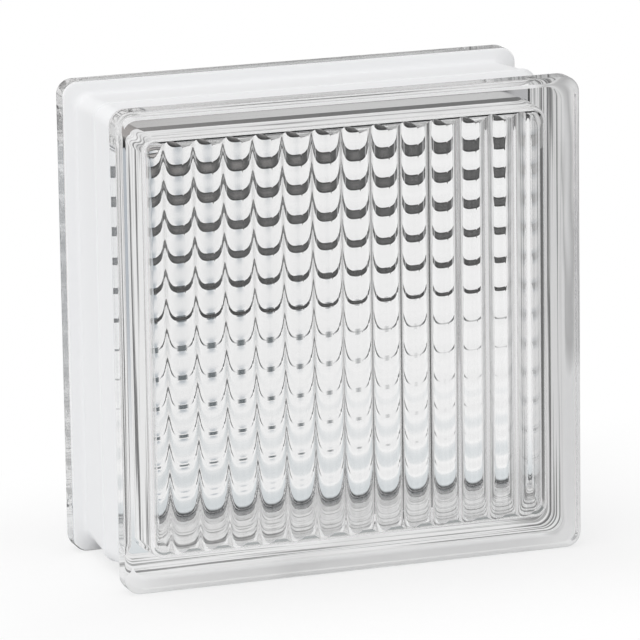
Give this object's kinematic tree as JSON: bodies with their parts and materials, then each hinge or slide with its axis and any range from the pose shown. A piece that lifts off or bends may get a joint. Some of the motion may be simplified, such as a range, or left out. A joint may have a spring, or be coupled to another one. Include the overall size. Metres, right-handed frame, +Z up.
{
  "type": "glass block",
  "caption": "Hollow glass block for mortared walls: two pressed half shells fused at a seam, crossed waves inside, flanged faces with a mortar key round the edge.",
  "frame": {"origin": "on the surface the block stands on, under the middle of its width and depth", "axes": "+Z up; the front face, with upright waves behind it, looks along -Y, and the depth lies along Y; +X to the right seen from the front"},
  "size_m": [0.19, 0.08, 0.19],
  "materials": {
    "clear_glass": "clear pressed glass, fire polished, with a translucent white coat on the side walls of the mortar key"
  },
  "bodies": {
    "root": {"front_half": "clear_glass", "back_half": "clear_glass"}
  },
  "joints": []
}
